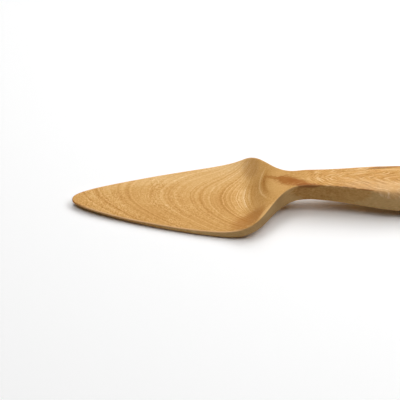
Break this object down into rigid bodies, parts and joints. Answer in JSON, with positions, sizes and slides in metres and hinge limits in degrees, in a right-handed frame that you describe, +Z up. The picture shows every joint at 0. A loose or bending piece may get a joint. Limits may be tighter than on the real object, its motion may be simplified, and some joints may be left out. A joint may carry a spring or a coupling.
{
  "type": "cake knife",
  "caption": "One-piece carved wooden cake knife: a flat leaf blade that sweeps up through a scooped neck into a flared handle.",
  "frame": {"origin": "on the plane that the knife lies on, under the middle of its length and width", "axes": "+X from the blade's tip to the end of the handle, +Z up out of the blade's upper face"},
  "size_m": [0.28, 0.066, 0.021],
  "materials": {
    "pale_hardwood": "satin"
  },
  "bodies": {
    "root": {"carved_body": "pale_hardwood"}
  },
  "joints": []
}
